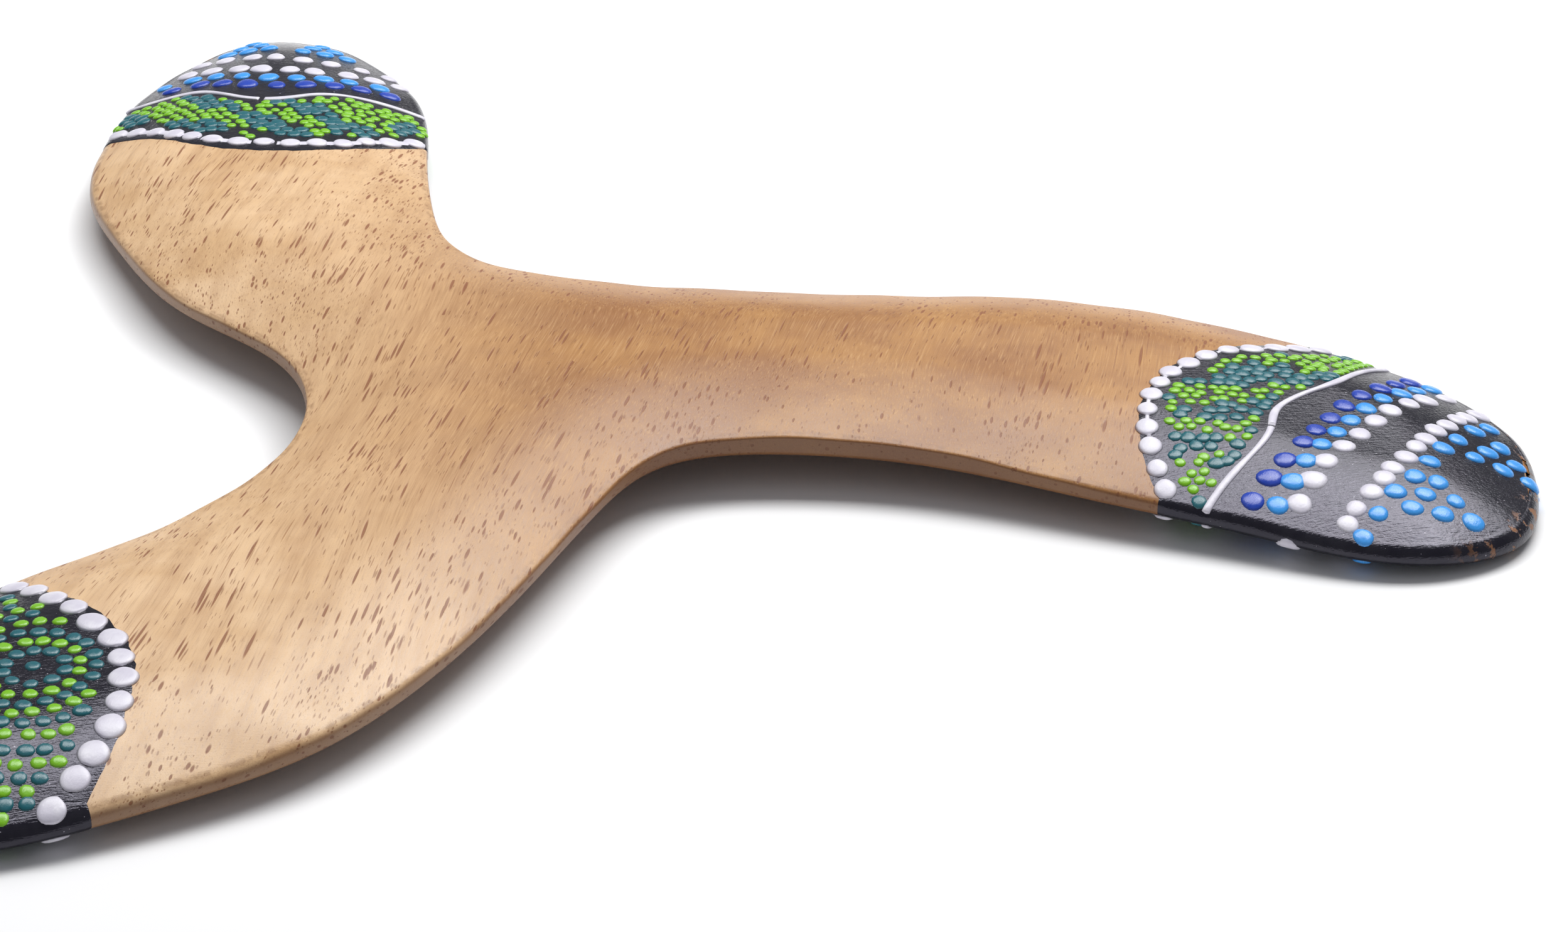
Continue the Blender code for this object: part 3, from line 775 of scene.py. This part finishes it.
def dot_paint(name, tone, drift=0.02, gloss=0.24, dust=0.05):
    """Thick acrylic from a dotting stick, glossy, with faint ripples and a little dust."""
    material, tree, shader = new_material(name, gloss)
    values = {"Tone": tone, "Drift": drift, "Dust": dust, "Gloss": gloss}
    paint = place_group(tree, hand_paint, Place=millimetres(tree, 20), **values)
    tree.links.new(paint["Color"], shader.inputs["Base Color"])
    tree.links.new(paint["Roughness"], shader.inputs["Roughness"])
    bump(tree, shader, paint["Relief"], 0.035)
    return material


white_paint = dot_paint("white_acrylic", srgb(208, 204, 217), drift=0.25, gloss=0.32)
for name, turn in BLADE_TURNS.items():
    for face, side in FACES.items():
        points, faces = string_of_beads(name, turn, face)
        beads = new_mesh(f"beads_{name}_{side}", points, faces)
        finish_piece(beads, white_paint, "white_paint", f"white_beads_{name}_{side}")


# Wavy lines -----------------------------------------------------------------------------------------------
# A thin line of white squeezed from a nozzle divides each tip's dotted field from its rows of drops. It
# swells and thins with the hand, and is broken through in places.

WAVES = {
    "right": ((98, -40), (100.8, -34.6), (105.9, -26.7), (111.5, -17.5), (112.9, -11), (118.8, -3.8),
              (122.5, -0.6), (126.7, 5.7), (131, 11.8), (136, 19)),
    "front": ((111, -42), (115.5, -28.4), (120.7, -20.1), (124.6, -11.2), (127, -2.7), (132, 4.3),
              (141.4, 13.2)),
    "rear": ((97, -38), (103, -28.5), (108.4, -19.2), (110.9, -9.7), (118, -2.3), (123.2, 0.4), (128.6, 8.6),
             (134, 17)),
}  # fmt: skip
LINE_HALF_WIDTH = 0.6
LINE_HEIGHT = 0.42
LINE_BREAK = {"right": 0.36, "front": 0.7, "rear": 0.52}


def squeezed_line(name, turn, face):
    """A ribbon along the wave, its width a sum of slow sines, sunk out of sight where the line is
    broken."""
    path = inside_part(turned(smooth_curve(WAVES[name], 30), turn))
    path, length = resampled(path, 0.25)
    width = LINE_HALF_WIDTH * (1 + 0.14 * np.sin(length / 3.1) + 0.05 * np.sin(length / 1.3 + face))
    broken = np.abs(length - LINE_BREAK[name] * length[-1]) < 0.45
    height = np.where(broken & (face > 0), -0.12, LINE_HEIGHT * (0.85 + 0.15 * np.sin(length / 2.7)))
    return ribbon(name, path, width, height, face)


for name, turn in BLADE_TURNS.items():
    for face, side in FACES.items():
        points, faces = squeezed_line(name, turn, face)
        line = new_mesh(f"wave_{name}_{side}", points, faces)
        finish_piece(line, white_paint, "white_paint", f"white_wave_{name}_{side}")


# Rows of drops --------------------------------------------------------------------------------------------
# Beyond the wavy line, rows of royal blue, sky blue and white drops follow one another across each tip,
# with two small triangles of sky blue before its end. A drop is a flattened dome, a little out of round.

ROWS = {
    "right": (
        ("royal", 1.8, 5.0, ((102, -44), (108.8, -31.3), (116.8, -19.2), (122.5, -9.2), (127.3, -3), (132, 3),
                             (136.5, 9.5), (142, 17))),
        ("sky", 1.72, 5.0, ((106, -45), (112.9, -31.1), (120.4, -17.9), (126.5, -8.7), (131.5, -2),
                            (136.3, 4.2), (143, 13))),
        ("white", 1.92, 5.0, ((110, -45), (116.5, -29.8), (124.4, -17.1), (130.4, -8.4), (135.4, -2.5),
                              (140.5, 3.5), (148, 12))),
        ("white", 1.72, 3.7, ((117, -46), (123.3, -34.1), (130.4, -23.4), (135.8, -14.4), (140.5, -7),
                              (145, -0.5), (150, 6))),
        ("sky", 1.62, 5.2, ((120, -47), (126.7, -33.9), (132.9, -25.5), (138.9, -15.1), (143.8, -8.5),
                            (150, 0))),
    ),
    "front": (
        ("royal", 1.8, 5.0, ((116, -43), (121.3, -29), (126.9, -19.7), (130.6, -10.6), (133.7, -1.8),
                             (142, 12))),
        ("sky", 1.72, 5.0, ((120, -43), (125, -29.8), (130.5, -19.7), (134.1, -10.7), (137.5, -1.6),
                            (144, 10))),
        ("white", 1.92, 5.0, ((124, -44), (128.8, -29.9), (134.1, -19.9), (138.1, -10.6), (141.6, -1.3),
                              (148, 9))),
    ),
    "rear": (
        ("royal", 1.8, 4.9, ((102, -39), (111, -26), (115.9, -14.3), (122.6, -6.1), (128.8, -0.8),
                             (133.5, 7.3), (138, 14))),
        ("sky", 1.72, 4.9, ((107, -40), (114.2, -26.9), (119, -16.2), (125.4, -8.8), (132, -3.4),
                            (137.5, 5.1), (142, 11))),
        ("white", 1.85, 4.9, ((112, -41), (118.9, -27.1), (123.4, -17.5), (128.8, -11), (135.6, -5.6),
                              (141.5, 2), (146, 8))),
        ("white", 1.7, 4.9, ((118, -41), (124.4, -29), (129, -21.6), (134.5, -15.6), (140.6, -10), (146, -3),
                             (150, 3))),
    ),
}  # fmt: skip
# First drop, direction of its base and of its point, for each triangle.
TRIANGLES = {
    "right": (((130.8, -34.2), 55, -32, 3), ((142, -18.1), 52, -40, 3)),
    "front": (((138.7, -25.4), 60, -25, 2),),
    "rear": (((131, -31), 60, -20, 3), ((139, -19.5), 50, -30, 3)),
}
TRIANGLE_SPACING = 3.9
TRIANGLE_RADIUS = 1.62
TRIANGLE_MARGIN = 1.0
RIM_MARGIN = {1: 1.5, -1: 0.6}
DOME_RINGS = np.array([0.0, 0.5, 0.83, 1.0, 1.0, 0.0])
DOME_RISE = np.array([1.0, 0.92, 0.62, 0.0, -0.1, -0.1])
DOME_SIDES = {"royal": 16, "sky": 16, "white": 16, "green": 10, "teal": 10}


def domes(centres, radii, heights, sides, face, seed):
    """Flattened domes on plan centres: rings of points whose radius wavers by two and three waves a turn,
    rising to the drop's height, closed by a base under the film."""
    random = np.random.default_rng(seed)
    count = len(centres)
    angle = np.linspace(0, 2 * np.pi, sides, endpoint=False)
    lean = random.random((2, count, 1)) * 2 * np.pi
    shape = 1 + 0.05 * np.sin(2 * angle + lean[0]) + 0.03 * np.sin(3 * angle + lean[1])
    ring = shape[..., None] * np.column_stack([np.cos(angle), np.sin(angle)])
    plan = centres[:, None, None] + (radii[:, None, None] * DOME_RINGS[:, None])[..., None] * ring[:, None]
    rise = heights[:, None, None] * np.maximum(DOME_RISE, 0)[:, None] + np.minimum(DOME_RISE, 0)[:, None]
    points = laid(plan, np.broadcast_to(rise, plan.shape[:-1]), face)
    faces = ring_faces(len(DOME_RINGS), sides)
    size = len(DOME_RINGS) * sides
    return points.reshape(-1, 3), (faces[None] + (np.arange(count) * size)[:, None, None]).reshape(-1, 4)


def row_centres(knots, turn, spacing, face, random):
    """Drops along one row, this far apart give or take a little, kept to the face and a little way round
    its rim."""
    path, length = resampled(turned(smooth_curve(knots, 20), turn), 0.1)
    count = int(length[-1] / spacing)
    at = np.clip((np.arange(count) + 0.5) * spacing + random.normal(0, 0.2, count), 0, length[-1])
    places = np.column_stack([np.interp(at, length, path[:, axis]) for axis in (0, 1)])
    places += random.normal(0, 0.12, places.shape)
    return places[survey(places)[0] > RIM_MARGIN[face]]


def triangle_centres(first, base, point, rows, turn):
    """Rows of one drop fewer each, from a base in one direction towards a point in another, in degrees."""
    base, point = np.radians([base, point])
    steps = [(i + 0.5 * j, j) for j in range(rows) for i in range(rows - j)]
    i, j = np.array(steps).T * TRIANGLE_SPACING
    east = first[0] + i * np.cos(base) + j * np.cos(point)
    north = first[1] + i * np.sin(base) + j * np.sin(point)
    places = turned(np.column_stack([east, north]), turn)
    return places[survey(places)[0] > TRIANGLE_MARGIN]


batches = {tone: [] for tone in ("royal", "sky", "white", "green", "teal")}
random = np.random.default_rng(41)
for face in FACES:
    for name, turn in BLADE_TURNS.items():
        for tone, radius, spacing, knots in ROWS[name]:
            centres = row_centres(knots, turn, spacing, face, random)
            batches[tone].append((face, centres, np.full(len(centres), radius)))
        for first, base, point, rows in TRIANGLES[name]:
            centres = triangle_centres(first, base, point, rows, turn)
            batches["sky"].append((face, centres, np.full(len(centres), TRIANGLE_RADIUS)))


# The dotted field -----------------------------------------------------------------------------------------
# Between the border and the wavy line the black is filled with small drops of green and teal in drifting
# bands, or, on the front tip, in rings about one middle drop.

FIELD_SPACING = 2.15
FIELD_ROWS = 44
FIELD_CORNER = (82, -42)
FIELD_SHARE = 0.95
FIELD_MARGIN = 0.5
BORDER_CLEARANCE = 0.75
LINE_CLEARANCE = 1.0
FIELD_RADII = {"green": 0.92, "teal": 1.22}
RING_HEART = (108.1, -6.8)
RING_FIRST = 4.2
RING_STEP = 2.3
RING_DROPS = 2.75
RING_COUNT = 14
RING_RADII = {"green": 1.08, "teal": 1.16}


def clear_of(places, path, gap):
    """Whether each place is at least this far from a path."""
    apart = np.linalg.norm(places[:, None] - path[None, ::4], axis=2).min(axis=1)
    return apart > gap


def beyond(places, path, side):
    """Whether each place lies on this side of a path that crosses the blade, 1 towards the tip."""
    nearest = np.linalg.norm(places[:, None] - path[None], axis=2).argmin(axis=1)
    away = ((places - path[nearest]) * left_normals(path)[nearest]).sum(axis=1)
    return away * side < 0


def field_places(name, random):
    """Places for small drops on a blade along +X, and whether each is green: an uneven honeycomb, or rings
    with their drops in even steps. The honeycomb's places are thinned but its greens aren't, so the bands
    slip."""
    if name == "front":
        rings = RING_FIRST + RING_STEP * np.arange(RING_COUNT)
        counts = np.round(2 * np.pi * rings / RING_DROPS).astype(int)
        ring = np.repeat(np.arange(RING_COUNT), counts)
        turn = (np.arange(counts.sum()) - np.repeat(np.cumsum(counts) - counts, counts)) / counts[ring]
        angle = 2 * np.pi * (turn + 0.37 * ring)
        reach = rings[ring] + 0.35 * np.sin(angle + ring)
        circle = np.column_stack([np.cos(angle), np.sin(angle)])
        places = RING_HEART + reach[:, None] * circle
        places = np.vstack([places, RING_HEART])
        return places + random.normal(0, 0.12, places.shape), np.append(ring % 2 == 1, False)
    rows, columns = np.mgrid[0:FIELD_ROWS, 0:FIELD_ROWS]
    across_blade = FIELD_CORNER[0] + (columns + 0.5 * (rows % 2)) * FIELD_SPACING
    along_blade = FIELD_CORNER[1] + rows * FIELD_SPACING * 0.87
    places = np.column_stack([across_blade.ravel(), along_blade.ravel()])
    places += random.normal(0, 0.26, places.shape)
    x, y = places.T
    drift = np.sin(x / 3.4 + 1.6 * np.sin(y / 6.1)) + np.sin(y / 3.9 - x / 8.5 + 1) + 0.2
    return places[random.random(len(places)) < FIELD_SHARE], drift > 0


for face in FACES:
    for name, turn in BLADE_TURNS.items():
        random = np.random.default_rng(len(name) + 3)
        places, green = field_places(name, random)
        green = green[: len(places)]
        border = smooth_curve(BORDERS[name], 30)
        wave = smooth_curve(WAVES[name], 30)
        kept = beyond(places, border, 1) & beyond(places, wave, -1)
        kept &= clear_of(places, border, BEADS[name][0] + BORDER_CLEARANCE)
        kept &= clear_of(places, wave, LINE_HALF_WIDTH + LINE_CLEARANCE)
        kept &= survey(turned(places, turn))[0] > FIELD_MARGIN
        radii = RING_RADII if name == "front" else FIELD_RADII
        for tone, chosen in (("green", kept & green), ("teal", kept & ~green)):
            centres = turned(places[chosen], turn)
            batches[tone].append((face, centres, np.full(len(centres), radii[tone])))

DROP_HEIGHTS = {"royal": 0.42, "sky": 0.42, "white": 0.4, "green": 0.3, "teal": 0.3}
DROP_PAINTS = {
    "royal": dot_paint("royal_blue_acrylic", srgb(32, 66, 172)),
    "sky": dot_paint("sky_blue_acrylic", srgb(62, 152, 232)),
    "white": white_paint,
    "green": dot_paint("leaf_green_acrylic", srgb(122, 188, 28)),
    "teal": dot_paint("teal_acrylic", srgb(26, 96, 106)),
}
SLOTS = {
    "royal": "royal_blue_paint",
    "sky": "sky_blue_paint",
    "white": "white_paint",
    "green": "green_paint",
    "teal": "teal_paint",
}
for tone, lots in batches.items():
    points, faces, start = [], [], 0
    for number, (face, centres, radii) in enumerate(lots):
        random = np.random.default_rng(97 + number)
        radii = radii * (1 + random.normal(0, 0.06, len(radii)))
        heights = DROP_HEIGHTS[tone] * radii / radii.mean()
        new_points, new_faces = domes(centres, radii, heights, DOME_SIDES[tone], face, number)
        points.append(new_points)
        faces.append(new_faces + start)
        start += len(new_points)
    drops = new_mesh(f"drops_{tone}", np.vstack(points), np.vstack(faces))
    finish_piece(drops, DROP_PAINTS[tone], SLOTS[tone])


# Stage, lights and camera ---------------------------------------------------------------------------------
# A plain white sweep, one broad softbox overhead and a little behind, and a camera on a long lens.

FLOOR_GAP = 0.02
low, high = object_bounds()
floor = bpy.data.meshes.new("floor")
reach, level = 4.0, low.z - FLOOR_GAP * MM
corners = [(x * reach, y * reach, level) for x, y in ((-1, -1), (1, -1), (1, 1), (-1, 1))]
floor.from_pydata(corners, [], [(0, 1, 2, 3)])
floor = bpy.data.objects.new("floor", floor)
bpy.context.scene.collection.objects.link(floor)
sweep, tree, shader = new_material("white_sweep", 0.9)
shader.inputs["Base Color"].default_value = (0.92, 0.92, 0.92, 1)
shader.inputs["Specular IOR Level"].default_value = 0.0
floor.data.materials.append(sweep)


def softbox(name, place, aim, size, power):
    """A rectangular area light at a place in mm, facing another."""
    light = bpy.data.lights.new(name, "AREA")
    light.shape = "RECTANGLE"
    light.size, light.size_y = size[0] * MM, size[1] * MM
    light.energy = power
    lamp = bpy.data.objects.new(name, light)
    place, aim = Vector(place) * MM, Vector(aim) * MM
    facing = (aim - place).to_track_quat("-Z", "Y").to_matrix().to_4x4()
    lamp.matrix_world = Matrix.Translation(place) @ facing
    bpy.context.scene.collection.objects.link(lamp)


softbox("overhead", (60, 275, 700), (60, 0, 0), (900, 300), 5.9)
softbox("back_right", (380, 560, 680), (40, 0, 0), (620, 480), 3.9)
world = bpy.data.worlds.new("room")
world.use_nodes = True
world.node_tree.nodes["Background"].inputs["Color"].default_value = (0.93, 0.94, 1.0, 1)
world.node_tree.nodes["Background"].inputs["Strength"].default_value = 0.27
bpy.context.scene.world = world

CAMERA_PLACE = (39.8, -593.0, 304.75)
CAMERA_PITCH = 28.05
CAMERA_ROLL = 0.75
LENS = 100.88
camera = bpy.data.objects.new("camera", bpy.data.cameras.new("camera"))
camera.data.lens = LENS
camera.data.sensor_width = 36.0
camera.data.clip_start, camera.data.clip_end = 0.01, 20.0
tilt = Matrix.Rotation(np.radians(90 - CAMERA_PITCH), 4, "X")
tilt = tilt @ Matrix.Rotation(np.radians(CAMERA_ROLL), 4, "Z")
camera.matrix_world = Matrix.Translation(Vector(CAMERA_PLACE) * MM) @ tilt
bpy.context.scene.collection.objects.link(camera)
bpy.context.scene.camera = camera
bpy.context.scene.view_settings.view_transform = "Standard"
